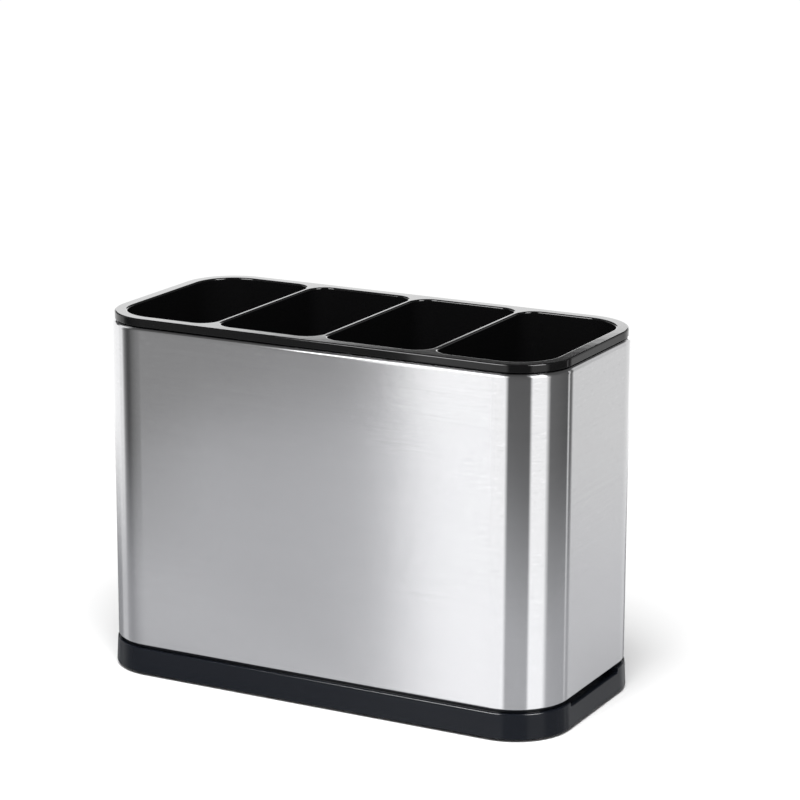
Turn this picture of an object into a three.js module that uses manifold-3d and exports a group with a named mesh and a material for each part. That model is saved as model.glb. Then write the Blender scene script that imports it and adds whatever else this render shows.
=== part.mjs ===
// Cutlery caddy: four compartments hang in a brushed steel sleeve on a black drip tray.
// Millimetres, +X along the length, +Y to the back, +Z up, origin on the table under the middle.

import * as THREE from 'three';
import { mergeVertices } from 'three/addons/utils/BufferGeometryUtils.js';
import Module from 'manifold-3d';

const wasm = await Module();
wasm.setup();

// Steel sleeve
const sleeveLength = 205;
const sleeveWidth = 96.8;
const sleeveHeight = 134.9;
const sleeveCornerRadius = 23.5;
const sheetThickness = 0.5;
const topBendRadius = 1.5;
const bottomBendRadius = 0.2;

// Compartment insert
const rimHeight = 3.2;
const rimInset = 0.85;
const rimEdgeRadius = 0.6;
const rimSkin = 1.7;
const rimLedge = 5.3;
const insertWall = 1.8;
const insertFloor = 1.8;
const insertDraft = 1;
const compartmentCount = 4;
const compartmentCornerRadius = 8;
const compartmentFloorRadius = 3;
const dividerThickness = 2.2;
const dividerRoundShare = 0.32;
const drainRadius = 2;
const drainMargin = 11;
const drainColumns = 3;
const drainRows = 5;

// Drip tray that the sleeve stands on
const skirtHeight = 10.5;
const skirtFlare = 0.9;
const skirtTopFlare = 0.45;
const skirtWall = 2.2;
const skirtTopRadius = 0.5;
const skirtBottomRadius = 0.5;
const shoulderThickness = 3.6;
const neckInset = 1.6;
const neckHeight = 1;
const upstandHeight = 7;
const upstandWall = 2;
const upstandEdgeRadius = 0.5;
const trayFloorHeight = 3;
const trayFloor = 2;
const trayFloorRadius = 3;
const notchMargin = 1.9;
const notchDepth = 2;
const notchCornerRadius = 0.8;
const ribThickness = 1.6;
const ribHeight = 1.6;

// Rubber feet
const footRadius = 6;
const footHeight = 2.4;
const footEdgeRadius = 0.4;
const footStandoff = 1;
const footInset = 20;
const footBossWall = 2.2;
const footBossGap = 0.4;

// Clearances, and how far a cut runs past the face that it opens
const seatClearance = 0.3;
const fitClearance = 0.5;
const dripGap = 2.5;
const overrun = 2;

// Facets
const cornerSteps = 10;
const compartmentCornerSteps = 7;
const roundSteps = 4;
const edgeSteps = 3;
const footSides = 24;
const drainSides = 8;

// Sizes that follow from the ones above
const halfTurn = Math.PI;
const quarterTurn = Math.PI / 2;
const rimTop = rimHeight;
const dividerRound = dividerThickness * dividerRoundShare;
const compartmentWallInset = rimInset + rimLedge;
const insertWallInset = compartmentWallInset - insertWall;
const lipInset = insertWallInset - fitClearance;
const upstandInset = lipInset + fitClearance;
const neckTop = skirtHeight + neckHeight;
const upstandTop = neckTop + upstandHeight;
const trayFloorTop = trayFloorHeight + trayFloor;
const sleeveSeat = footStandoff + neckTop + seatClearance;
const insertSeat = sleeveSeat + sleeveHeight + seatClearance;
const insertBottom = footStandoff + upstandTop + dripGap - insertSeat;
const compartmentFloor = insertBottom + insertFloor;

// Outlines. An outline is a rounded rectangle with a radius of its own at each corner,
// in the order back right, back left, front left, front right.

function sleeveOutline() {
  return {
    right: sleeveLength / 2,
    left: -sleeveLength / 2,
    back: sleeveWidth / 2,
    front: -sleeveWidth / 2,
    radii: [sleeveCornerRadius, sleeveCornerRadius, sleeveCornerRadius, sleeveCornerRadius],
    steps: cornerSteps,
  };
}

function grown(outline, amount) {
  return {
    right: outline.right + amount,
    left: outline.left - amount,
    back: outline.back + amount,
    front: outline.front - amount,
    radii: outline.radii.map((radius) => radius + amount),
    steps: outline.steps,
  };
}

function loop(outline, height) {
  const { right, left, back, front, radii, steps } = outline;
  const centres = [
    [right - radii[0], back - radii[0]],
    [left + radii[1], back - radii[1]],
    [left + radii[2], front + radii[2]],
    [right - radii[3], front + radii[3]],
  ];
  const points = [];
  centres.forEach(([x, y], corner) => {
    for (let step = 0; step <= steps; step += 1) {
      const angle = quarterTurn * (corner + step / steps);
      const reach = radii[corner];
      points.push([x + reach * Math.cos(angle), y + reach * Math.sin(angle), height]);
    }
  });
  return points;
}

// Points of a quarter round as [inset, height], from one angle to another about a centre.
function arc(centreInset, centreHeight, radius, from, to, steps) {
  const points = [];
  for (let step = 0; step <= steps; step += 1) {
    const angle = from + (to - from) * (step / steps);
    points.push([centreInset + radius * Math.cos(angle), centreHeight + radius * Math.sin(angle)]);
  }
  return points;
}

// Surfaces

function surface(loops, closesOnItself) {
  const count = loops[0].length;
  const positions = loops.flat(2);
  const index = [];
  const rows = closesOnItself ? loops.length : loops.length - 1;
  for (let row = 0; row < rows; row += 1) {
    const above = (row + 1) % loops.length;
    for (let column = 0; column < count; column += 1) {
      const next = (column + 1) % count;
      const a = row * count + column;
      const b = row * count + next;
      const c = above * count + next;
      const d = above * count + column;
      index.push(a, b, c, a, c, d);
    }
  }
  if (!closesOnItself) {
    const top = (loops.length - 1) * count;
    for (let column = 1; column < count - 1; column += 1) {
      index.push(0, column + 1, column);
      index.push(top, top + column, top + column + 1);
    }
  }
  const geometry = new THREE.BufferGeometry();
  geometry.setAttribute('position', new THREE.Float32BufferAttribute(positions, 3));
  geometry.setIndex(index);
  return geometry;
}

// A solid stacked from outlines; each section is [outline, height], lowest first.
function stack(sections) {
  return solidOf(surface(sections.map(([outline, height]) => loop(outline, height)), false));
}

// A closed section of [inset, height] points, carried round an outline.
// The points go up on the outside and down on the inside.
function band(outline, section) {
  const loops = section.map(([inset, height]) => loop(grown(outline, -inset), height));
  return solidOf(surface(loops, true));
}

function solidOf(geometry) {
  const bare = geometry.clone();
  bare.deleteAttribute('normal');
  bare.deleteAttribute('uv');
  const merged = mergeVertices(bare);
  return new wasm.Manifold(
    new wasm.Mesh({
      numProp: 3,
      vertProperties: new Float32Array(merged.attributes.position.array),
      triVerts: new Uint32Array(merged.index.array),
    }),
  );
}

function geometryOf(solid) {
  const { vertProperties, triVerts } = solid.getMesh();
  const geometry = new THREE.BufferGeometry();
  geometry.setAttribute('position', new THREE.Float32BufferAttribute(vertProperties, 3));
  geometry.setIndex(new THREE.BufferAttribute(triVerts, 1));
  geometry.computeVertexNormals();
  return geometry;
}

function upright(radius, bottom, top, sides, x, y) {
  const geometry = new THREE.CylinderGeometry(radius, radius, top - bottom, sides);
  geometry.rotateX(quarterTurn);
  geometry.translate(x, y, (top + bottom) / 2);
  return solidOf(geometry);
}

function block(left, right, front, back, bottom, top) {
  const geometry = new THREE.BoxGeometry(right - left, back - front, top - bottom);
  geometry.translate((left + right) / 2, (front + back) / 2, (bottom + top) / 2);
  return solidOf(geometry);
}

function joined(solids) {
  return solids.reduce((sum, solid) => sum.add(solid));
}

// Places

function footPlaces() {
  const x = sleeveLength / 2 - footInset;
  const y = sleeveWidth / 2 - footInset;
  return [
    ['foot_front_left', -x, -y],
    ['foot_front_right', x, -y],
    ['foot_back_left', -x, y],
    ['foot_back_right', x, y],
  ];
}

function compartmentWidth() {
  const inside = sleeveLength - 2 * compartmentWallInset;
  return (inside - (compartmentCount - 1) * dividerThickness) / compartmentCount;
}

// The mouth of one compartment at the top of its straight wall. The outer corners of the end
// ones run parallel to the corners of the sleeve.
function compartmentOutline(number) {
  const width = compartmentWidth();
  const inner = grown(sleeveOutline(), -compartmentWallInset);
  const left = inner.left + number * (width + dividerThickness);
  const isFirst = number === 0;
  const isLast = number === compartmentCount - 1;
  const outerRadius = inner.radii[0];
  const rightRadius = isLast ? outerRadius : compartmentCornerRadius;
  const leftRadius = isFirst ? outerRadius : compartmentCornerRadius;
  return {
    left,
    right: left + width,
    back: inner.back,
    front: inner.front,
    radii: [rightRadius, leftRadius, leftRadius, rightRadius],
    steps: compartmentCornerSteps,
  };
}

// Steel sleeve: one bent sheet with both edges turned inward

function sleeveSolid() {
  const low = bottomBendRadius + sheetThickness;
  const deep = topBendRadius + sheetThickness;
  const high = sleeveHeight - deep;
  const section = [
    [lipInset, 0],
    ...arc(low, low, low, 3 * quarterTurn, halfTurn, roundSteps),
    ...arc(deep, high, deep, halfTurn, quarterTurn, roundSteps),
    [lipInset, sleeveHeight],
    [lipInset, sleeveHeight - sheetThickness],
    ...arc(deep, high, topBendRadius, quarterTurn, halfTurn, roundSteps),
    ...arc(low, low, bottomBendRadius, halfTurn, 3 * quarterTurn, roundSteps),
    [lipInset, sheetThickness],
  ];
  return band(sleeveOutline(), section);
}

// Compartment insert: its height zero is the underside of the rim, which rests on the sleeve

function rimSolid() {
  const outer = sleeveOutline();
  const edge = arc(
    rimInset + rimEdgeRadius,
    rimTop - rimEdgeRadius,
    rimEdgeRadius,
    halfTurn,
    quarterTurn,
    edgeSteps,
  );
  const sections = [[rimInset, 0], ...edge];
  return stack(sections.map(([inset, height]) => [grown(outer, -inset), height]));
}

function rimChannel() {
  const outside = rimInset + rimSkin;
  const section = [
    [outside, -overrun],
    [outside, rimTop - rimSkin],
    [insertWallInset, rimTop - rimSkin],
    [insertWallInset, -overrun],
  ];
  return band(sleeveOutline(), section);
}

function insertBody() {
  const outer = sleeveOutline();
  const lowInset = insertWallInset + insertDraft;
  const edge = arc(
    lowInset + compartmentFloorRadius,
    insertBottom + compartmentFloorRadius,
    compartmentFloorRadius,
    3 * quarterTurn,
    halfTurn,
    roundSteps,
  );
  const sections = [...edge, [insertWallInset, rimTop - rimEdgeRadius]];
  return stack(sections.map(([inset, height]) => [grown(outer, -inset), height]));
}

function compartmentCut(number) {
  const mouth = compartmentOutline(number);
  const low = arc(
    insertDraft + compartmentFloorRadius,
    compartmentFloor + compartmentFloorRadius,
    compartmentFloorRadius,
    3 * quarterTurn,
    halfTurn,
    roundSteps,
  );
  const lip = arc(-dividerRound, rimTop - dividerRound, dividerRound, 0, quarterTurn, edgeSteps);
  const sections = [...low, ...lip, [-dividerRound, rimTop + overrun]];
  return stack(sections.map(([inset, height]) => [grown(mouth, -inset), height]));
}

function drainCuts(number) {
  const { left, right, front, back } = grown(compartmentOutline(number), -drainMargin);
  const bottom = insertBottom - overrun;
  const top = compartmentFloor + overrun;
  const cuts = [];
  for (let column = 0; column < drainColumns; column += 1) {
    for (let row = 0; row < drainRows; row += 1) {
      const x = left + (right - left) * (column / (drainColumns - 1));
      const y = front + (back - front) * (row / (drainRows - 1));
      cuts.push(upright(drainRadius, bottom, top, drainSides, x, y));
    }
  }
  return cuts;
}

function insertSolid() {
  let solid = rimSolid().subtract(rimChannel()).add(insertBody());
  for (let number = 0; number < compartmentCount; number += 1) {
    solid = solid.subtract(compartmentCut(number));
    solid = solid.subtract(joined(drainCuts(number)));
  }
  return solid;
}

// Drip tray: its height zero is the bottom edge of the skirt

// The skirt leans in from its foot to its top edge, which stands proud of the sleeve.
function skirtInsetAt(height) {
  return -skirtFlare + (skirtFlare - skirtTopFlare) * (height / skirtHeight);
}

function skirtSolid() {
  const outer = sleeveOutline();
  const low = arc(
    skirtInsetAt(0) + skirtBottomRadius,
    skirtBottomRadius,
    skirtBottomRadius,
    3 * quarterTurn,
    halfTurn,
    edgeSteps,
  );
  const high = arc(
    skirtInsetAt(skirtHeight) + skirtTopRadius,
    skirtHeight - skirtTopRadius,
    skirtTopRadius,
    halfTurn,
    quarterTurn,
    edgeSteps,
  );
  const neck = [[neckInset, skirtHeight], [neckInset, neckTop]];
  return stack([...low, ...high, ...neck].map(([inset, height]) => [grown(outer, -inset), height]));
}

function undersideCut() {
  const outer = sleeveOutline();
  const inset = skirtInsetAt(0) + skirtWall;
  return stack([
    [grown(outer, -inset), -overrun],
    [grown(outer, -inset), trayFloorHeight],
  ]);
}

// The groove between the skirt and the wall of the tray, open underneath.
function grooveCut() {
  const section = [
    [skirtInsetAt(0) + skirtWall, trayFloorHeight - overrun],
    [skirtInsetAt(skirtHeight) + skirtWall, skirtHeight - shoulderThickness],
    [upstandInset, skirtHeight - shoulderThickness],
    [upstandInset, trayFloorHeight - overrun],
  ];
  return band(sleeveOutline(), section);
}

function upstandSolid() {
  const outer = grown(sleeveOutline(), -upstandInset);
  const edge = arc(
    upstandEdgeRadius,
    upstandTop - upstandEdgeRadius,
    upstandEdgeRadius,
    halfTurn,
    quarterTurn,
    edgeSteps,
  );
  const sections = [[0, trayFloorHeight], ...edge];
  return stack(sections.map(([inset, height]) => [grown(outer, -inset), height]));
}

function wellCut() {
  const inner = grown(sleeveOutline(), -(upstandInset + upstandWall));
  const low = arc(
    trayFloorRadius,
    trayFloorTop + trayFloorRadius,
    trayFloorRadius,
    3 * quarterTurn,
    halfTurn,
    roundSteps,
  );
  const sections = [...low, [0, upstandTop + overrun]];
  return stack(sections.map(([inset, height]) => [grown(inner, -inset), height]));
}

// One end notch: an opening through the shoulder and the neck, back to the wall of the tray.
function notchCut(side) {
  const bottom = skirtHeight - notchDepth;
  const top = neckTop + overrun;
  const half = sleeveWidth / 2 - sleeveCornerRadius - notchMargin;
  const shape = new THREE.Shape();
  shape.moveTo(-half, top);
  shape.lineTo(-half, bottom + notchCornerRadius);
  shape.absarc(-half + notchCornerRadius, bottom + notchCornerRadius, notchCornerRadius,
    halfTurn, 3 * quarterTurn, false);
  shape.lineTo(half - notchCornerRadius, bottom);
  shape.absarc(half - notchCornerRadius, bottom + notchCornerRadius, notchCornerRadius,
    3 * quarterTurn, 4 * quarterTurn, false);
  shape.lineTo(half, top);
  const reach = upstandInset + skirtFlare + overrun;
  const geometry = new THREE.ExtrudeGeometry(shape, {
    depth: reach,
    bevelEnabled: false,
    curveSegments: edgeSteps,
  });
  geometry.rotateX(quarterTurn);
  geometry.rotateZ(quarterTurn);
  const start = side > 0 ? sleeveLength / 2 - upstandInset : upstandInset - sleeveLength / 2 - reach;
  geometry.translate(start, 0, 0);
  return solidOf(geometry);
}

function ribs() {
  const bottom = trayFloorHeight - ribHeight;
  const halfDepth = sleeveWidth / 2 - upstandInset - upstandWall;
  const halfLength = sleeveLength / 2 - upstandInset - upstandWall;
  const half = ribThickness / 2;
  const top = trayFloorHeight + trayFloor / 2;
  const solids = [block(-halfLength, halfLength, -half, half, bottom, top)];
  for (let number = 1; number < compartmentCount; number += 1) {
    const x = compartmentOutline(number).left - dividerThickness / 2;
    solids.push(block(x - half, x + half, -halfDepth, halfDepth, bottom, top));
  }
  return solids;
}

function traySolid() {
  let solid = skirtSolid().subtract(undersideCut()).add(upstandSolid());
  solid = solid.subtract(grooveCut()).subtract(wellCut());
  solid = solid.add(joined(ribs()));
  const recessTop = footHeight + seatClearance - footStandoff;
  for (const [, x, y] of footPlaces()) {
    const recessRadius = footRadius + seatClearance;
    const bossTop = trayFloorHeight + trayFloor / 2;
    solid = solid.add(upright(recessRadius + footBossWall, footBossGap, bossTop, footSides, x, y));
    solid = solid.subtract(upright(recessRadius, -overrun, recessTop, footSides, x, y));
  }
  return solid.subtract(notchCut(1)).subtract(notchCut(-1));
}

// Rubber foot: a pad with a softened edge underneath

function footGeometry() {
  const profile = [
    new THREE.Vector2(0, 0),
    ...arc(footRadius - footEdgeRadius, footEdgeRadius, footEdgeRadius, -quarterTurn, 0, edgeSteps)
      .map(([radius, height]) => new THREE.Vector2(radius, height)),
    new THREE.Vector2(footRadius, footHeight),
    new THREE.Vector2(0, footHeight),
  ];
  const geometry = new THREE.LatheGeometry(profile, footSides);
  geometry.rotateX(quarterTurn);
  return geometryOf(solidOf(geometry));
}

// Materials

function brushedSteel() {
  return new THREE.MeshStandardMaterial({ color: 0xc4c4c2, roughness: 0.32, metalness: 1 });
}

function glossBlackPlastic() {
  return new THREE.MeshStandardMaterial({ color: 0x17181a, roughness: 0.24, metalness: 0 });
}

function satinBlackPlastic() {
  return new THREE.MeshStandardMaterial({ color: 0x1f2023, roughness: 0.42, metalness: 0 });
}

function softRubber() {
  return new THREE.MeshStandardMaterial({ color: 0x1a1a1a, roughness: 0.85, metalness: 0 });
}

// Assembly

function piece(name, geometry, material, x, y, z) {
  const mesh = new THREE.Mesh(geometry, material);
  mesh.name = name;
  mesh.position.set(x, y, z);
  return mesh;
}

function baseGroup() {
  const group = new THREE.Group();
  group.add(piece('drip_tray', geometryOf(traySolid()), satinBlackPlastic(), 0, 0, footStandoff));
  for (const [name, x, y] of footPlaces()) {
    group.add(piece(name, footGeometry(), softRubber(), x, y, 0));
  }
  return group;
}

const caddy = new THREE.Group();
caddy.add(baseGroup());
caddy.add(piece('steel_sleeve', geometryOf(sleeveSolid()), brushedSteel(), 0, 0, sleeveSeat));
caddy.add(piece('compartment_insert', geometryOf(insertSolid()), glossBlackPlastic(), 0, 0, insertSeat));

export default caddy;
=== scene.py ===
import math

import bmesh
import bpy
from mathutils import Matrix, Vector
from mathutils.geometry import delaunay_2d_cdt


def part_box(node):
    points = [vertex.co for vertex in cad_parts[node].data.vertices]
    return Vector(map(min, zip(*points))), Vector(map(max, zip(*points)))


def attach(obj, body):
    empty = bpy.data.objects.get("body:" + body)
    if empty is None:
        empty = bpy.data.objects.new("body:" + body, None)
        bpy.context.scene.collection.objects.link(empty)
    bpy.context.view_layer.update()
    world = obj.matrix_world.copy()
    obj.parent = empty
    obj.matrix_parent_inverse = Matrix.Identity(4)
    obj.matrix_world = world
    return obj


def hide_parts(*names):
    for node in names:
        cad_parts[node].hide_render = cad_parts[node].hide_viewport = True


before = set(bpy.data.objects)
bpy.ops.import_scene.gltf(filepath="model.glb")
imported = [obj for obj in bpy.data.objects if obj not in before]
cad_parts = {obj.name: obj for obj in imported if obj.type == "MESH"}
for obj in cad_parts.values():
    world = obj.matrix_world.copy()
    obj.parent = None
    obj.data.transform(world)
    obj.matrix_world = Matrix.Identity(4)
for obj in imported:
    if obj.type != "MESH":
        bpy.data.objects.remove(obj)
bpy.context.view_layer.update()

sleeve_low, sleeve_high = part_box("steel_sleeve")
insert_low, insert_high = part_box("compartment_insert")
tray_low, tray_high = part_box("drip_tray")

# Steel sleeve, in metres
corner_radius = 0.0235
sheet = 0.0005
top_bend = 0.002
bottom_bend = 0.0007
lip_inset = 0.00385

# Compartment insert
rim_height = 0.0032
rim_inset = sleeve_high.x - insert_high.x
rim_edge = 0.0006
rim_foot_edge = 0.00025
rim_skin = 0.0017
rim_ledge = 0.0053
insert_wall = 0.0018
insert_floor = 0.0018
insert_draft = 0.001
compartments = 4
compartment_corner = 0.008
floor_round = 0.003
divider = 0.0022
divider_round_share = 0.32
drain_radius = 0.002
drain_margin = 0.011
drain_columns = 3
drain_rows = 5

# Drip tray
skirt_height = 0.0105
skirt_flare = tray_high.x - sleeve_high.x
skirt_top_flare = 0.00045
skirt_wall = 0.0022
skirt_top_edge = 0.0005
skirt_bottom_edge = 0.0005
shoulder = 0.0036
neck_inset = 0.0016
neck_height = 0.001
neck_edge = 0.0002
upstand_inset = 0.00435
upstand_wall = 0.002
upstand_edge = 0.0005
well_floor = 0.005
well_round = 0.003
underside_height = 0.003
notch_margin = 0.0019
notch_depth = 0.002
notch_corner = 0.0008
notch_edge = 0.0004
rib_width = 0.0016
rib_height = 0.0016
rib_edge = 0.0003
boss_wall = 0.0022
boss_gap = 0.0004

# Feet
foot_radius = 0.006
foot_height = 0.0024
foot_edge = 0.0004
foot_clearance = 0.0003
foot_inset = 0.02
foot_standoff = tray_low.z
foot_groove = 0.00025

# Heights that follow
rim_top = insert_high.z
rim_low = rim_top - rim_height
shoulder_top = foot_standoff + skirt_height
neck_top = shoulder_top + neck_height
compartment_floor = insert_low.z + insert_floor
tray_floor = foot_standoff + well_floor
underside = foot_standoff + underside_height
upstand_top = tray_high.z

# Mesh density
corner_steps = 28
pocket_corner_steps = 14
side_step = 0.008
hold = 0.00008
edge_steps = 6
round_steps = 8
hole_sides = 24
foot_sides = 72
smooth_angle = math.radians(32)
weld = 0.000002
mm = 1000.0

QUARTER = math.pi / 2


# Outlines: lists of (x, y, normal x, normal y), counter-clockwise seen from above

def outline(right, left, back, front, radii, steps, stations=()):
    """A rounded rectangle with its own radius at each corner, from the back right one on."""
    centres = [
        (right - radii[0], back - radii[0]),
        (left + radii[1], back - radii[1]),
        (left + radii[2], front + radii[2]),
        (right - radii[3], front + radii[3]),
    ]
    points = []
    for corner, (x, y) in enumerate(centres):
        for step in range(steps + 1):
            angle = QUARTER * (corner + step / steps)
            across, up = math.cos(angle), math.sin(angle)
            points.append((x + radii[corner] * across, y + radii[corner] * up, across, up))
        following = (corner + 1) % 4
        start = points[-1]
        angle = QUARTER * (corner + 1)
        end_x = centres[following][0] + radii[following] * math.cos(angle)
        end_y = centres[following][1] + radii[following] * math.sin(angle)
        points.extend(side_points(start, end_x, end_y, stations))
    return points


def side_points(start, end_x, end_y, stations):
    """Points along a straight side, close beside both ends, evenly between and at the stations."""
    x, y, across, up = start
    length = math.hypot(end_x - x, end_y - y)
    if length < 4 * hold:
        return []
    count = max(1, round(length / side_step))
    places = {hold, length - hold}
    places.update(length * step / count for step in range(1, count))
    along_x, along_y = (end_x - x) / length, (end_y - y) / length
    for station_x, station_y in stations:
        distance = (station_x - x) * along_x + (station_y - y) * along_y
        off = abs((station_x - x) * along_y - (station_y - y) * along_x)
        if off < side_step and hold < distance < length - hold:
            places.add(distance)
    ordered = []
    for place in sorted(places):
        if not ordered or place - ordered[-1] > weld:
            ordered.append(place)
    return [(x + along_x * p, y + along_y * p, across, up) for p in ordered]


def sleeve_outline(stations=()):
    return outline(
        sleeve_high.x, sleeve_low.x, sleeve_high.y, sleeve_low.y,
        [corner_radius] * 4, corner_steps, stations,
    )


def circle(x, y, radius, sides):
    points = []
    for side in range(sides):
        across, up = math.cos(4 * QUARTER * side / sides), math.sin(4 * QUARTER * side / sides)
        points.append((x + radius * across, y + radius * up, across, up))
    return points


def loop(points, inset, height):
    return [(x - nx * inset, y - ny * inset, height) for x, y, nx, ny in points]


# Profiles: lists of (inset, height)

def arc(inset, height, radius, start, end, steps):
    """A round from one angle to another about a centre; angles are in quarter turns."""
    points = []
    for step in range(steps + 1):
        angle = QUARTER * (start + (end - start) * step / steps)
        points.append((inset + radius * math.cos(angle), height + radius * math.sin(angle)))
    return points


def held(profile, closed=False):
    """The same profile with a point close beside each end of its long straight stretches."""
    count = len(profile)
    result = []
    for i, (inset, height) in enumerate(profile):
        result.append((inset, height))
        if i == count - 1 and not closed:
            break
        next_inset, next_height = profile[(i + 1) % count]
        length = math.hypot(next_inset - inset, next_height - height)
        if length > 6 * hold:
            for share in (hold / length, 1 - hold / length):
                result.append((
                    inset + (next_inset - inset) * share,
                    height + (next_height - height) * share,
                ))
    return result


# Shells: meshes made of loops and flat fills

class Shell:
    def __init__(self):
        self.vertices = []
        self.faces = []

    def skin(self, loops, closed=False):
        """Quads between loops; outward when the loops climb on the outside."""
        first = len(self.vertices)
        count = len(loops[0])
        for ring in loops:
            self.vertices.extend(ring)
        rows = len(loops) if closed else len(loops) - 1
        for row in range(rows):
            above = (row + 1) % len(loops)
            for column in range(count):
                following = (column + 1) % count
                self.faces.append((
                    first + row * count + column,
                    first + row * count + following,
                    first + above * count + following,
                    first + above * count + column,
                ))

    def fill(self, outer, holes, height, up=True):
        """A flat face at one height, inside the outer loop and outside the holes, all convex.
        It is triangulated in millimetres, where the smallest distances are told apart better."""
        points, edges, owners = [], [], []
        for number, ring in enumerate([outer, *holes]):
            first = len(points)
            points.extend(Vector((p[0], p[1])) * mm for p in ring)
            owners.extend([number] * len(ring))
            count = len(ring)
            edges.extend((first + i, first + (i + 1) % count) for i in range(count))
        found, _, triangles, sources, *_ = delaunay_2d_cdt(points, edges, [], 1, weld)
        owner = [owners[source[0]] for source in sources]
        first = len(self.vertices)
        self.vertices.extend((p.x / mm, p.y / mm, height) for p in found)
        for triangle in triangles:
            rings = {owner[i] for i in triangle}
            if len(rings) == 1 and rings != {0}:
                continue
            turned = triangle if up else list(reversed(triangle))
            self.faces.append(tuple(first + i for i in turned))

    def object(self, name, material):
        mesh = bpy.data.meshes.new(name)
        mesh.from_pydata(self.vertices, [], self.faces)
        finish_mesh(mesh, weld / 10)
        mesh.materials.append(material)
        piece = bpy.data.objects.new(name, mesh)
        bpy.context.scene.collection.objects.link(piece)
        return piece


def finish_mesh(mesh, shortest):
    """Merge doubled vertices, take out edges under the shortest and faces of no area, shade."""
    work = bmesh.new()
    work.from_mesh(mesh)
    bmesh.ops.remove_doubles(work, verts=work.verts, dist=weld)
    bmesh.ops.dissolve_degenerate(work, edges=work.edges, dist=shortest)
    work.to_mesh(mesh)
    work.free()
    mesh.shade_smooth()
    mesh.set_sharp_from_angle(angle=smooth_angle)


# Steel sleeve

def make_sleeve(material):
    low, high = sleeve_low.z, sleeve_high.z
    profile = [
        (lip_inset, low),
        *arc(bottom_bend, low + bottom_bend, bottom_bend, 3, 2, edge_steps),
        *arc(top_bend, high - top_bend, top_bend, 2, 1, edge_steps),
        (lip_inset, high),
        (lip_inset, high - sheet),
        *arc(top_bend, high - top_bend, top_bend - sheet, 1, 2, edge_steps),
        *arc(bottom_bend, low + bottom_bend, bottom_bend - sheet, 2, 3, edge_steps),
        (lip_inset, low + sheet),
    ]
    points = sleeve_outline()
    shell = Shell()
    shell.skin([loop(points, *p) for p in held(profile, closed=True)], closed=True)
    return shell.object("sleeve", material)


# Compartment insert

def pocket_outline(number):
    wall = rim_inset + rim_ledge
    left, right = sleeve_low.x + wall, sleeve_high.x - wall
    width = (right - left - (compartments - 1) * divider) / compartments
    start = left + number * (width + divider)
    outer = corner_radius - wall
    at_left = outer if number == 0 else compartment_corner
    at_right = outer if number == compartments - 1 else compartment_corner
    return outline(
        start + width, start, sleeve_high.y - wall, sleeve_low.y + wall,
        [at_right, at_left, at_left, at_right], pocket_corner_steps,
    )


def drain_places(points):
    xs = [p[0] for p in points]
    ys = [p[1] for p in points]
    left, right = min(xs) + drain_margin, max(xs) - drain_margin
    front, back = min(ys) + drain_margin, max(ys) - drain_margin
    places = []
    for column in range(drain_columns):
        for row in range(drain_rows):
            x = left + (right - left) * column / (drain_columns - 1)
            y = front + (back - front) * row / (drain_rows - 1)
            places.append((x, y))
    return places


def make_insert(material):
    shell = Shell()
    points = sleeve_outline()
    wall = rim_inset + rim_ledge - insert_wall
    low_wall = wall + insert_draft
    round_over = divider * divider_round_share

    # Outside: from the flat of the rim over its edge, round the channel underneath, down the body
    outside = [
        (rim_inset + rim_edge + hold, rim_top),
        *arc(rim_inset + rim_edge, rim_top - rim_edge, rim_edge, 1, 2, edge_steps),
        *arc(
            rim_inset + rim_foot_edge, rim_low + rim_foot_edge,
            rim_foot_edge, 2, 3, edge_steps // 2,
        ),
        (rim_inset + rim_skin, rim_low),
        (rim_inset + rim_skin, rim_top - rim_skin),
        (wall, rim_top - rim_skin),
        *arc(low_wall + floor_round, insert_low.z + floor_round, floor_round, 2, 3, round_steps),
        (low_wall + floor_round + hold, insert_low.z),
    ]
    outside = held(outside)
    shell.skin([loop(points, *p) for p in reversed(outside)])
    bottom = loop(points, *outside[-1])
    flat = loop(points, *outside[0])

    # Compartments: from the flat of the rim over the mouth, down the wall, round to the floor
    inside = [
        (-round_over - hold, rim_top),
        *arc(-round_over, rim_top - round_over, round_over, 1, 0, edge_steps),
        *arc(
            insert_draft + floor_round, compartment_floor + floor_round,
            floor_round, 2, 3, round_steps,
        ),
        (insert_draft + floor_round + hold, compartment_floor),
    ]
    inside = held(inside)
    mouths, drains = [], []
    for number in range(compartments):
        pocket = pocket_outline(number)
        shell.skin([loop(pocket, *p) for p in inside])
        mouths.append(loop(pocket, *inside[0]))
        holes = [circle(x, y, drain_radius, hole_sides) for x, y in drain_places(pocket)]
        shell.fill(loop(pocket, *inside[-1]), [loop(h, 0, 0) for h in holes], compartment_floor)
        for hole in holes:
            shell.skin([loop(hole, 0, compartment_floor), loop(hole, 0, insert_low.z)])
        drains.extend(holes)
    shell.fill(flat, mouths, rim_top)
    shell.fill(bottom, [loop(h, 0, 0) for h in drains], insert_low.z, up=False)
    return shell.object("insert", material)


# Drip tray

def notch_half():
    return sleeve_high.y - corner_radius - notch_margin


def faces_end(normal_x):
    """Whether a point of the outline lies on the straight side at one of the short ends."""
    return abs(normal_x) > 0.999999


def notch_drop(y):
    """How deep the end notch is at a place across the end, from 0 outside it to 1 inside it."""
    half = notch_half()
    into = half - abs(y)
    if into <= 0:
        return 0.0
    full = notch_depth + neck_height
    if into >= notch_corner:
        return 1.0
    lift = notch_corner - math.sqrt(notch_corner**2 - (notch_corner - into) ** 2)
    return (full - lift) / full


def notch_stations():
    half = notch_half()
    places = [half + weld * 4, half - weld * 4]
    for step in range(1, edge_steps + 1):
        places.append(half - notch_corner * (1 - math.cos(QUARTER * step / edge_steps)))
    stations = []
    for end in (sleeve_low.x, sleeve_high.x):
        for place in places:
            stations += [(end, place), (end, -place)]
    return stations


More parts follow.
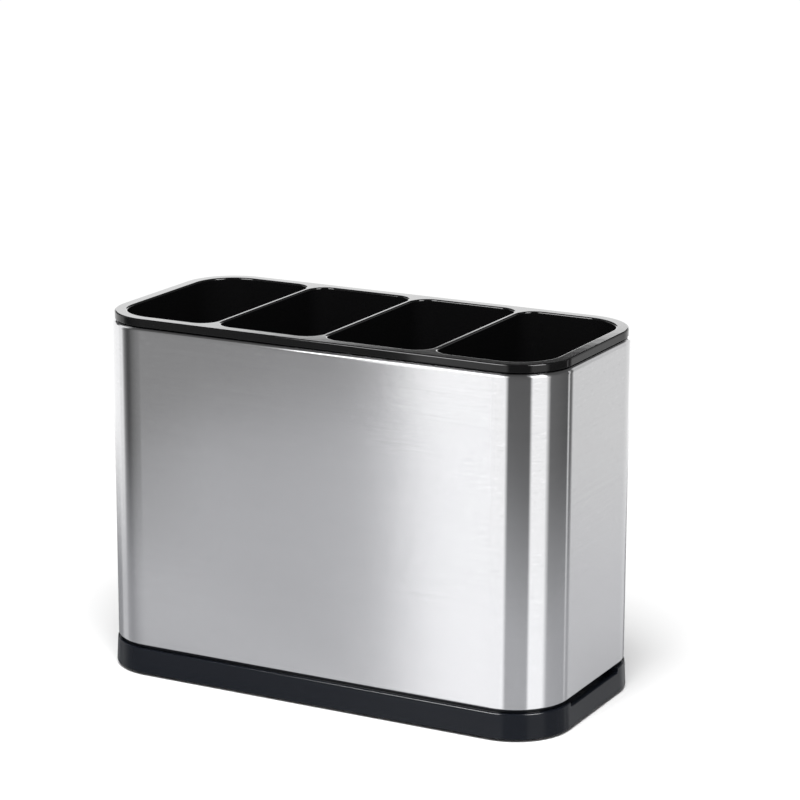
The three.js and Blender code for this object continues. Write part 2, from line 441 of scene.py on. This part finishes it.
def skirt_inset(height):
    """The skirt leans out towards its foot, straight between its two rounded edges."""
    low, high = foot_standoff + skirt_bottom_edge, shoulder_top - skirt_top_edge
    share = min(max((height - low) / (high - low), 0.0), 1.0)
    return -skirt_flare + (skirt_flare - skirt_top_flare) * share


def tray_section(drop):
    """The tray's section from the skirt over the shoulder and neck to the upstand's foot.
    drop is 0 away from the notches and grows to 1 where one is at its full depth."""
    common = neck_top - notch_depth - neck_height - 2 * notch_edge
    start = [(skirt_inset(common - hold), common - hold), (skirt_inset(common), common)]
    if drop == 0.0:
        return [
            *start,
            *arc(
                skirt_top_edge - skirt_top_flare, shoulder_top - skirt_top_edge,
                skirt_top_edge, 2, 1, edge_steps,
            ),
            (neck_inset - hold, shoulder_top),
            (neck_inset, shoulder_top),
            *arc(neck_inset + neck_edge, neck_top - neck_edge, neck_edge, 2, 1, 2),
            (upstand_inset, neck_top),
        ]
    deep = neck_top - (notch_depth + neck_height) * drop
    sill = min(deep, shoulder_top)
    edge = skirt_inset(sill - notch_edge)
    return [
        *start,
        *arc(edge + notch_edge, sill - notch_edge, notch_edge, 2, 1, edge_steps),
        (edge + notch_edge + hold, sill),
        (neck_inset, sill),
        (neck_inset, sill + (deep - sill) / 2),
        (neck_inset, deep),
        (neck_inset + neck_edge, deep),
        (upstand_inset, deep),
    ]


def tray_loops(points, foot):
    """Loops up the outside of the tray; the ends' straight stretches dip at the notches."""
    columns = []
    for _, y, nx, _ in points:
        columns.append([*foot, *tray_section(notch_drop(y) if faces_end(nx) else 0.0)])
    rows = []
    for row in range(len(columns[0])):
        ring = []
        for (x, y, nx, ny), column in zip(points, columns):
            inset, height = column[row]
            ring.append((x - nx * inset, y - ny * inset, height))
        rows.append(ring)
    return rows


def foot_places():
    x, y = sleeve_high.x - foot_inset, sleeve_high.y - foot_inset
    return {
        "foot_front_left": (-x, -y),
        "foot_front_right": (x, -y),
        "foot_back_left": (-x, y),
        "foot_back_right": (x, y),
    }


def make_tray(material):
    shell = Shell()
    points = sleeve_outline(notch_stations())
    base = foot_standoff
    inner = skirt_inset(base) + skirt_wall
    foot = held([
        (inner, base),
        *arc(
            skirt_inset(base) + skirt_bottom_edge, base + skirt_bottom_edge,
            skirt_bottom_edge, 3, 2, edge_steps,
        ),
        (skirt_inset(base + skirt_bottom_edge + hold), base + skirt_bottom_edge + hold),
    ])
    shell.skin(tray_loops(points, foot))

    # The upstand, from the neck over its edge and down to the floor of the well
    lip = [
        (upstand_inset, neck_top),
        *arc(
            upstand_inset + upstand_edge, upstand_top - upstand_edge,
            upstand_edge, 2, 1, edge_steps,
        ),
        *arc(
            upstand_inset + upstand_wall - upstand_edge, upstand_top - upstand_edge,
            upstand_edge, 1, 0, edge_steps,
        ),
        *arc(
            upstand_inset + upstand_wall + well_round, tray_floor + well_round,
            well_round, 2, 3, round_steps,
        ),
        (upstand_inset + upstand_wall + well_round + hold, tray_floor),
    ]
    lip = held(lip)
    loops = [loop(points, *p) for p in lip]
    for spot, (_, y, nx, _) in enumerate(points):
        if faces_end(nx) and notch_drop(y) > 0:
            lip_x, lip_y, _ = loops[0][spot]
            deep = neck_top - (notch_depth + neck_height) * notch_drop(y)
            loops[0][spot] = (lip_x, lip_y, deep)
    shell.skin(loops)
    shell.fill(loops[-1], [], tray_floor)

    # Underneath: the groove behind the skirt, then the underside of the floor with its bosses
    groove_top = shoulder_top - shoulder
    below = [
        (upstand_inset, underside),
        (upstand_inset, groove_top),
        (skirt_inset(shoulder_top) + skirt_wall, groove_top),
        (skirt_inset(base) + skirt_wall, underside),
        (inner, base),
    ]
    shell.skin([loop(points, *p) for p in held(below)])
    bosses = []
    recess = foot_radius + foot_clearance
    recess_top = foot_height + foot_clearance
    for x, y in foot_places().values():
        rim = circle(x, y, recess + boss_wall, foot_sides)
        hole = circle(x, y, recess, foot_sides)
        low = base + boss_gap
        bosses.append(loop(rim, 0, 0))
        shell.skin([
            loop(hole, 0, recess_top), loop(hole, 0, low),
            loop(rim, 0, low), loop(rim, 0, underside),
        ])
        shell.fill(loop(hole, 0, 0), [], recess_top, up=False)
    shell.fill(loop(points, upstand_inset, 0), bosses, underside, up=False)
    tray = shell.object("tray", material)
    add_ribs(tray)
    return tray


def add_ribs(tray):
    """Low ribs under the floor, joined into the tray's own mesh."""
    wall = rim_inset + rim_ledge
    width = (sleeve_high.x - sleeve_low.x - 2 * wall - (compartments - 1) * divider) / compartments
    pitch = width + divider
    across = sleeve_high.y - upstand_inset - upstand_wall
    along = sleeve_high.x - upstand_inset - upstand_wall
    middle = (compartments - 2) / 2
    bars = [(0.0, 0.0, along, rib_width / 2)]
    bars += [((n - middle) * pitch, 0.0, rib_width / 2, across) for n in range(compartments - 1)]
    low, high = underside - rib_height, underside + (tray_floor - underside) / 2
    parts = []
    for number, (x, y, half_x, half_y) in enumerate(bars):
        shell = Shell()
        bar = outline(x + half_x, x - half_x, y + half_y, y - half_y, [rib_edge] * 4, 2)
        shell.skin([
            loop(bar, rib_edge, low),
            loop(bar, 0, low + rib_edge),
            loop(bar, 0, high),
        ])
        shell.fill(loop(bar, rib_edge, 0), [], low, up=False)
        shell.fill(loop(bar, 0, 0), [], high)
        parts.append(shell.object(f"rib_{number}", tray.data.materials[0]))
    for part in parts:
        cut = tray.modifiers.new(part.name, "BOOLEAN")
        cut.operation = "UNION"
        cut.solver = "EXACT"
        cut.object = part
    graph = bpy.context.evaluated_depsgraph_get()
    done = bpy.data.meshes.new_from_object(tray.evaluated_get(graph))
    tray.modifiers.clear()
    tray.data = done
    for part in parts:
        bpy.data.objects.remove(part)
    finish_mesh(done, weld / 2)


# Feet

def make_foot(name, x, y, material):
    shell = Shell()
    middle = circle(x, y, 0.0, foot_sides)
    inner = foot_radius / 4
    groove = foot_radius / 2
    edge = arc(foot_radius - foot_edge, foot_edge, foot_edge, -1, 0, edge_steps)
    section = [
        (inner, 0.0),
        (groove - foot_groove * 2, 0.0),
        (groove, foot_groove),
        (groove + foot_groove * 2, 0.0),
        *edge,
        (foot_radius, foot_height),
        (inner, foot_height),
    ]
    shell.skin([loop(middle, -radius, height) for radius, height in section])
    ring = loop(middle, -inner, 0.0)
    shell.fill(ring, [], 0.0, up=False)
    shell.fill(ring, [], foot_height)
    return shell.object(name, material)


# Node material helpers

class Nodes:
    """The node tree of a material or of the world."""

    def __init__(self, owner):
        self.owner = owner
        owner.use_nodes = True
        self.tree = owner.node_tree
        self.shader = self.tree.nodes.get("Principled BSDF")

    def add(self, kind, **settings):
        node = self.tree.nodes.new(kind)
        for key, value in settings.items():
            setattr(node, key, value)
        return node

    def link(self, source, target):
        self.tree.links.new(source, target)

    def place(self):
        return self.add("ShaderNodeTexCoord").outputs["Object"]

    def stretched(self, scale):
        """Object coordinates in metres times a scale for each axis."""
        mapping = self.add("ShaderNodeMapping")
        mapping.inputs["Scale"].default_value = scale
        self.link(self.place(), mapping.inputs["Vector"])
        return mapping.outputs["Vector"]

    def noise(self, scale, detail, seed, roughness=0.5):
        node = self.add("ShaderNodeTexNoise", noise_dimensions="4D")
        node.inputs["Scale"].default_value = 1.0
        node.inputs["W"].default_value = seed
        node.inputs["Detail"].default_value = detail
        node.inputs["Roughness"].default_value = roughness
        self.link(self.stretched(scale), node.inputs["Vector"])
        return node.outputs["Fac"]

    def range(self, value, low, high, to_low, to_high):
        node = self.add("ShaderNodeMapRange")
        node.inputs["From Min"].default_value = low
        node.inputs["From Max"].default_value = high
        node.inputs["To Min"].default_value = to_low
        node.inputs["To Max"].default_value = to_high
        self.link(value, node.inputs["Value"])
        return node.outputs["Result"]

    def math(self, operation, a, b):
        """One operation on two values, each a number or a socket."""
        node = self.add("ShaderNodeMath", operation=operation)
        for socket, value in zip(node.inputs, (a, b)):
            if isinstance(value, (int, float)):
                socket.default_value = value
            else:
                self.link(value, socket)
        return node.outputs["Value"]

    def mixed(self, factor, first, second):
        """Two levels mixed; the factor is the second one's share."""
        node = self.add("ShaderNodeMix")
        self.link(factor, node.inputs["Factor"])
        for socket, value in ((node.inputs["A"], first), (node.inputs["B"], second)):
            if isinstance(value, float):
                socket.default_value = value
            else:
                self.link(value, socket)
        return node.outputs["Result"]

    def tint(self, factor, dark, light):
        node = self.add("ShaderNodeMix", data_type="RGBA")
        node.inputs["A"].default_value = (*dark, 1.0)
        node.inputs["B"].default_value = (*light, 1.0)
        self.link(factor, node.inputs["Factor"])
        return node.outputs["Result"]

    def blend(self, factor, first, second):
        """Two shaders mixed; the factor is the second one's share."""
        node = self.add("ShaderNodeMixShader")
        self.link(factor, node.inputs["Fac"])
        self.link(first, node.inputs[1])
        self.link(second, node.inputs[2])
        return node.outputs["Shader"]

    def steps(self, value, table):
        """A level that follows a table of (value, level), straight between its entries."""
        total = table[0][1]
        for (start, before), (end, after) in zip(table, table[1:]):
            if after != before:
                total = self.math("ADD", self.range(value, start, end, 0.0, after - before), total)
        return total

    def azimuth(self, x, y):
        """The azimuth of a direction, in degrees from the front towards the right."""
        turn = self.math("ARCTAN2", x, self.math("MULTIPLY", y, -1.0))
        return self.math("MULTIPLY", turn, math.degrees(1.0))

    def bump(self, height, distance, before=None):
        node = self.add("ShaderNodeBump")
        node.inputs["Distance"].default_value = distance
        node.inputs["Strength"].default_value = 1.0
        self.link(height, node.inputs["Height"])
        if before is not None:
            self.link(before, node.inputs["Normal"])
        return node.outputs["Normal"]

    def set(self, socket, value):
        if hasattr(value, "is_output"):
            self.link(value, self.shader.inputs[socket])
        else:
            self.shader.inputs[socket].default_value = value


# Materials: noise scales are features per metre along x, y and z; reliefs are in metres

noise_spread = (0.3, 0.7)

hairlines = (28.0, 28.0, 9000.0)
hairline_share = 0.6
streaks = (14.0, 14.0, 1600.0)
streak_share = 0.4
streak_shade = (0.17, 0.7)
streak_roughness = (0.098, 0.121)
streak_relief = 0.0000045
bands = (18.0, 18.0, 520.0)
band_shade = (0.0, 0.13)
ticks = (340.0, 340.0, 1100.0)
pale_ticks, pale_tick_shade = (0.64, 0.72), 0.5
dark_ticks, dark_tick_shade = (0.36, 0.28), -0.4
tick_relief = 0.0000018
handling = (22.0, 22.0, 18.0)
handling_spread = (0.35, 0.7)
handling_roughness = 0.015
handling_relief = 0.00002
steel_dark = (0.70, 0.70, 0.71)
steel_pale = (0.80, 0.80, 0.81)
grain_turn = 0.25


def brushed_steel():
    """Stainless sheet brushed lengthwise, round the sleeve, so that glints spread upwards."""
    n = Nodes(bpy.data.materials.new("brushed_steel"))
    fine = n.noise(hairlines, detail=3.0, roughness=0.6, seed=1.0)
    coarse = n.noise(streaks, detail=4.0, roughness=0.55, seed=2.0)
    handled = n.noise(handling, detail=5.0, roughness=0.6, seed=3.0)
    broad = n.noise(bands, detail=3.0, seed=4.0)
    ticked = n.noise(ticks, detail=1.0, roughness=0.4, seed=6.0)
    fine = n.math("MULTIPLY", fine, hairline_share)
    brushed = n.math("ADD", fine, n.math("MULTIPLY", coarse, streak_share))
    shade = n.range(brushed, *noise_spread, *streak_shade)
    shade = n.math("ADD", shade, n.range(broad, *noise_spread, *band_shade))
    shade = n.math("ADD", shade, n.range(ticked, *pale_ticks, 0.0, pale_tick_shade))
    shade = n.math("ADD", shade, n.range(ticked, *dark_ticks, 0.0, dark_tick_shade))
    n.set("Base Color", n.tint(shade, steel_dark, steel_pale))
    n.set("Metallic", 1.0)
    rough = n.range(brushed, *noise_spread, *streak_roughness)
    smudged = n.range(handled, *handling_spread, 0.0, handling_roughness)
    n.set("Roughness", n.math("ADD", rough, smudged))
    n.set("Anisotropic", 1.0)
    n.set("Anisotropic Rotation", grain_turn)
    tangent = n.add("ShaderNodeTangent", direction_type="RADIAL", axis="Z")
    n.set("Tangent", tangent.outputs["Tangent"])
    waves = n.bump(handled, handling_relief)
    nicks = n.bump(ticked, tick_relief, before=waves)
    n.set("Normal", n.bump(coarse, streak_relief, before=nicks))
    return n.owner


peel = (240.0, 240.0, 240.0)
gloss_patches = (35.0, 35.0, 35.0)
patch_roughness = (0.85, 1.15)
scuffs = (900.0, 260.0, 700.0)
scuff_spread = (0.62, 0.78)
scuff_share = 0.5
scuff_gain, scuff_lift = 1.5, 0.0005
scuff_roughness = 0.3


def black_moulding(name, colour, roughness, relief, ior, seed):
    """Injection-moulded black plastic with a faint orange peel, uneven gloss and fine scuffs."""
    n = Nodes(bpy.data.materials.new(name))
    grain = n.noise(peel, detail=3.0, seed=seed)
    patches = n.noise(gloss_patches, detail=5.0, roughness=0.6, seed=seed + 1.0)
    scuffed = n.noise(scuffs, detail=6.0, roughness=0.75, seed=seed + 2.0)
    scuffed = n.range(scuffed, *scuff_spread, 0.0, 1.0)
    light = tuple(c * scuff_gain + scuff_lift for c in colour)
    n.set("Base Color", n.tint(n.math("MULTIPLY", scuffed, scuff_share), colour, light))
    rough = n.range(patches, *noise_spread, *(roughness * share for share in patch_roughness))
    dull = n.math("MULTIPLY", scuffed, roughness * scuff_roughness)
    n.set("Roughness", n.math("ADD", rough, dull))
    n.set("IOR", ior)
    n.set("Normal", n.bump(grain, relief))
    return n.owner


rubber_grain = (2600.0, 2600.0, 2600.0)
rubber_relief = 0.00004
rubber_roughness = (0.72, 0.9)
rubber_black = (0.016, 0.016, 0.017)
dust = (240.0, 240.0, 240.0)
dust_spread = (0.5, 0.75)
dust_share = 0.6
dust_grey = (0.045, 0.044, 0.042)


def foot_rubber():
    """Matt black rubber with a fine grain and a trace of dust."""
    n = Nodes(bpy.data.materials.new("foot_rubber"))
    grain = n.noise(rubber_grain, detail=3.0, seed=21.0)
    dusty = n.noise(dust, detail=6.0, roughness=0.7, seed=22.0)
    shade = n.range(dusty, *dust_spread, 0.0, dust_share)
    n.set("Base Color", n.tint(shade, rubber_black, dust_grey))
    n.set("Roughness", n.range(dusty, *noise_spread, *rubber_roughness))
    n.set("Normal", n.bump(grain, rubber_relief))
    return n.owner


# Studio

camera_place = (0.55914, -1.03494, 0.41541)
camera_azimuth = 27.76
camera_elevation = 14.25
camera_roll = 0.20
camera_lens = 134.06
camera_clip = (0.05, 20.0)
sensor_width = 36.0

# What reflections and the light see round the caddy, as (azimuth in degrees from the front
# towards the right, level): panels of light with dark gaps between them
studio_ring = [
    (-180.0, 1.12),
    (-96.0, 1.12),
    (-89.0, 0.95),
    (-83.0, 0.98),
    (-78.5, 0.50),
    (-75.0, 0.26),
    (-71.0, 0.16),
    (-66.0, 0.08),
    (-60.0, 0.09),
    (-53.0, 0.16),
    (-43.0, 0.225),
    (-36.0, 0.26),
    (-33.0, 0.30),
    (-31.5, 0.28),
    (-28.0, 0.26),
    (-27.68, 0.32),
    (-27.43, 1.40),
    (-27.2, 1.60),
    (-26.9, 1.38),
    (-26.4, 1.28),
    (-25.6, 1.18),
    (-24.0, 1.15),
    (1.5, 1.15),
    (8.5, 0.115),
    (48.5, 0.115),
    (54.0, 1.12),
    (81.0, 1.12),
    (84.0, 0.80),
    (91.0, 0.15),
    (110.0, 0.13),
    (136.0, 0.10),
    (137.5, 0.72),
    (140.5, 0.72),
    (142.0, 0.18),
    (147.5, 0.12),
    (151.0, 0.34),
    (154.5, 0.76),
    (180.0, 0.90),
]
# Where the panels end, behind and above; heights are the sine of the elevation
panels_top = (0.62, 0.75)
backdrop_side = (95.0, 105.0)
backdrop_middle = (-1.0, 1.0)
backdrop_top_left = (0.2235, 0.2285)
backdrop_top_right = (0.30, 0.40)
backdrop_azimuth = (-138.0, -142.0)
backdrop_foot = (0.0, 0.1)
backdrop_level = 2.2
ceiling_level = 0.08
camera_white = 1.03


def make_camera():
    data = bpy.data.cameras.new("camera")
    data.lens = camera_lens
    data.sensor_width = sensor_width
    data.clip_start, data.clip_end = camera_clip
    camera = bpy.data.objects.new("camera", data)
    bpy.context.scene.collection.objects.link(camera)
    turn = (
        Matrix.Rotation(math.radians(camera_azimuth), 4, "Z")
        @ Matrix.Rotation(math.radians(90.0 - camera_elevation), 4, "X")
        @ Matrix.Rotation(math.radians(camera_roll), 4, "Z")
    )
    camera.matrix_world = Matrix.Translation(camera_place) @ turn
    bpy.context.scene.camera = camera


def make_world():
    """The studio for reflections and light, plain white for the camera."""
    world = bpy.data.worlds.new("studio")
    bpy.context.scene.world = world
    n = Nodes(world)
    parts = n.add("ShaderNodeSeparateXYZ")
    n.link(n.add("ShaderNodeTexCoord").outputs["Generated"], parts.inputs["Vector"])
    azimuth = n.azimuth(parts.outputs["X"], parts.outputs["Y"])
    ring = n.steps(azimuth, studio_ring)
    up = parts.outputs["Z"]
    aside = n.math("ABSOLUTE", azimuth, 0.0)
    behind = n.range(azimuth, *backdrop_azimuth, 0.0, 1.0)
    above = n.range(up, *backdrop_foot, 0.0, 1.0)
    wall = n.mixed(n.math("MULTIPLY", behind, above), ring, backdrop_level)
    high = n.range(up, *panels_top, 0.0, 1.0)
    left = n.range(up, *backdrop_top_left, 0.0, 1.0)
    right = n.range(up, *backdrop_top_right, 0.0, 1.0)
    low = n.mixed(n.range(azimuth, *backdrop_middle, 0.0, 1.0), left, right)
    ceiling = n.mixed(n.range(aside, *backdrop_side, 0.0, 1.0), high, low)
    level = n.mixed(ceiling, wall, ceiling_level)
    studio = n.tree.nodes["Background"]
    n.link(level, studio.inputs["Color"])
    white = n.add("ShaderNodeBackground")
    white.inputs["Color"].default_value = (1.0, 1.0, 1.0, 1.0)
    white.inputs["Strength"].default_value = camera_white
    seen = n.add("ShaderNodeLightPath").outputs["Is Camera Ray"]
    surface = n.blend(seen, studio.outputs["Background"], white.outputs["Background"])
    n.link(surface, n.tree.nodes["World Output"].inputs["Surface"])


# Lamps, as azimuth and elevation in degrees, then distance, width and height
softboxes = {
    "softbox_front": (-16.7, 40.0, 1.3, 0.60, 0.70),
    "softbox_right": (69.5, 40.0, 1.3, 0.55, 0.70),
}
softbox_levels = {"sleeve": 2.2, "insert": 16.0, "tray": 48.0}
key = (20.0, 66.0, 1.6, 1.1, 1.1)
key_level = 10.0


def make_lamp(name, azimuth, elevation, distance, width, height, level, lit=None):
    """A lamp with a soft rectangular face, aimed at the caddy. One that is for a single
    piece shows in its gloss alone; the other kind lights everything and shows in no gloss."""
    data = bpy.data.lights.new(name, "AREA")
    data.shape = "RECTANGLE"
    data.size = width
    data.size_y = height
    data.energy = level * math.pi * width * height
    lamp = bpy.data.objects.new(name, data)
    bpy.context.scene.collection.objects.link(lamp)
    lamp.visible_camera = False
    lamp.visible_glossy = lit is not None
    lamp.visible_diffuse = lit is None
    if lit is not None:
        receivers = bpy.data.collections.new(name)
        receivers.objects.link(lit)
        lamp.light_linking.receiver_collection = receivers
    turn, lift = math.radians(azimuth), math.radians(elevation)
    towards = Vector((math.sin(turn), -math.cos(turn), 0.0)) * math.cos(lift)
    towards.z = math.sin(lift)
    lamp.location = towards * distance
    lamp.rotation_euler = (-towards).to_track_quat("-Z", "Y").to_euler()


# The table fades out with the distance from its middle. It reaches further at the front, between
# two azimuths, and there it also ends along a slanting line.
table_radius = 0.62
table_fade = (0.22, 0.48)
table_fade_front = (0.56, 0.62)
table_front_left = (-42.0, -34.0)
table_front_right = (-14.0, -4.0)
table_slant = (-0.899, -0.438)
table_fade_slant = (0.405, 0.455)
table_colour = 0.93
# In reflections: a painted shade under a gloss, a grey far darker than the table's own colour,
# each changing with the azimuth from the right corner; in some sectors the grey is painted paler,
# as painted light
table_gloss_roughness = 0.08
table_painted_shade = (0.228, 0.231, 0.241)
table_painted_shade_pale = (0.275, 0.279, 0.289)
table_painted_shade_ring = [
    (-72.0, 0.0),
    (-66.0, 0.5),
    (-58.0, 0.5),
    (-50.0, 0.0),
    (0.0, 0.0),
    (8.0, 1.0),
    (70.0, 1.0),
    (95.0, 0.7),
    (130.0, 0.7),
    (150.0, 0.0),
]
table_polish_front = 0.7
table_polish_side = 0.58
table_polish_side_azimuth = (95.0, 140.0)
table_polish_left = 0.3
table_polish_left_azimuth = (-72.0, -80.0)


def table_material():
    """A pale table top that fades out before its edge. Reflections show it polished, like the
    acrylic sheet of a photo table, and duller at the left and behind. In reflections its grey
    is a painted shade, far darker than its own colour, and painted paler round the right corner."""
    n = Nodes(bpy.data.materials.new("table"))
    n.tree.nodes.remove(n.shader)
    plain = n.add("ShaderNodeBsdfDiffuse")
    plain.inputs["Color"].default_value = (table_colour, table_colour, table_colour, 1.0)
    # Painted shade: a darker grey copy of the table, seen only in reflections
    dull = n.add("ShaderNodeBsdfDiffuse")
    mirror = n.add("ShaderNodeBsdfAnisotropic")
    mirror.inputs["Roughness"].default_value = table_gloss_roughness
    parts = n.add("ShaderNodeSeparateXYZ")
    n.link(n.place(), parts.inputs["Vector"])
    x, y = parts.outputs["X"], parts.outputs["Y"]
    from_corner = n.azimuth(
        n.math("SUBTRACT", x, sleeve_high.x - corner_radius),
        n.math("SUBTRACT", y, sleeve_low.y + corner_radius),
    )
    side = table_polish_side - table_polish_front
    left = table_polish_left - table_polish_front
    side = n.range(from_corner, *table_polish_side_azimuth, 0.0, side)
    left = n.range(from_corner, *table_polish_left_azimuth, 0.0, left)
    polish = n.math("ADD", n.math("ADD", table_polish_front, side), left)
    n.link(polish, mirror.inputs["Color"])
    # Painted light: the painted shade grey made paler in sectors round the right corner
    pale = n.steps(from_corner, table_painted_shade_ring)
    n.link(n.tint(pale, table_painted_shade, table_painted_shade_pale), dull.inputs["Color"])
    polished = n.add("ShaderNodeAddShader")
    n.link(dull.outputs["BSDF"], polished.inputs[0])
    n.link(mirror.outputs["BSDF"], polished.inputs[1])
    path = n.add("ShaderNodeLightPath")
    top = n.blend(path.outputs["Is Glossy Ray"], plain.outputs["BSDF"], polished.outputs["Shader"])
    reach = n.add("ShaderNodeVectorMath", operation="LENGTH")
    n.link(n.place(), reach.inputs[0])
    around = n.azimuth(x, y)
    front = n.range(around, *table_front_left, 0.0, 1.0)
    front = n.math("MULTIPLY", front, n.range(around, *table_front_right, 1.0, 0.0))
    near = n.range(reach.outputs["Value"], *table_fade, 0.0, 1.0)
    far = n.range(reach.outputs["Value"], *table_fade_front, 0.0, 1.0)
    slant = n.math("MULTIPLY", x, table_slant[0])
    slant = n.math("ADD", slant, n.math("MULTIPLY", y, table_slant[1]))
    far = n.math("MAXIMUM", far, n.range(slant, *table_fade_slant, 0.0, 1.0))
    fade = n.mixed(front, near, far)
    clear = n.add("ShaderNodeBsdfTransparent")
    surface = n.blend(fade, top, clear.outputs["BSDF"])
    n.link(surface, n.tree.nodes["Material Output"].inputs["Surface"])
    return n.owner


def make_table():
    shell = Shell()
    edge = circle(0.0, 0.0, table_radius, foot_sides)
    shell.fill(loop(edge, 0, 0), [], 0.0)
    table = shell.object("table", table_material())


# Assembly

def place(piece, body, slot, *nodes):
    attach(piece, body)
    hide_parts(*nodes)
    return piece


make_camera()
sleeve = place(make_sleeve(brushed_steel()), "sleeve", "sleeve_steel", "steel_sleeve")
gloss = black_moulding(
    "insert_plastic", colour=(0.0045, 0.0045, 0.0047), roughness=0.036,
    relief=0.000003, ior=1.41, seed=5.0,
)
satin = black_moulding(
    "tray_plastic", colour=(0.0064, 0.0078, 0.0112), roughness=0.13,
    relief=0.000004, ior=1.27, seed=11.0,
)
insert = place(make_insert(gloss), "insert", "insert_plastic", "compartment_insert")
tray = place(make_tray(satin), "base", "tray_plastic", "drip_tray")
rubber = foot_rubber()
for node, (foot_x, foot_y) in foot_places().items():
    place(make_foot(f"pad_{node[5:]}", foot_x, foot_y, rubber), "base", "foot_rubber", node)

make_world()
for piece in (sleeve, insert, tray):
    for name, softbox in softboxes.items():
        make_lamp(f"{name}_{piece.name}", *softbox, softbox_levels[piece.name], piece)
make_lamp("key", *key, key_level)
make_table()

bpy.context.scene.view_settings.view_transform = "Standard"
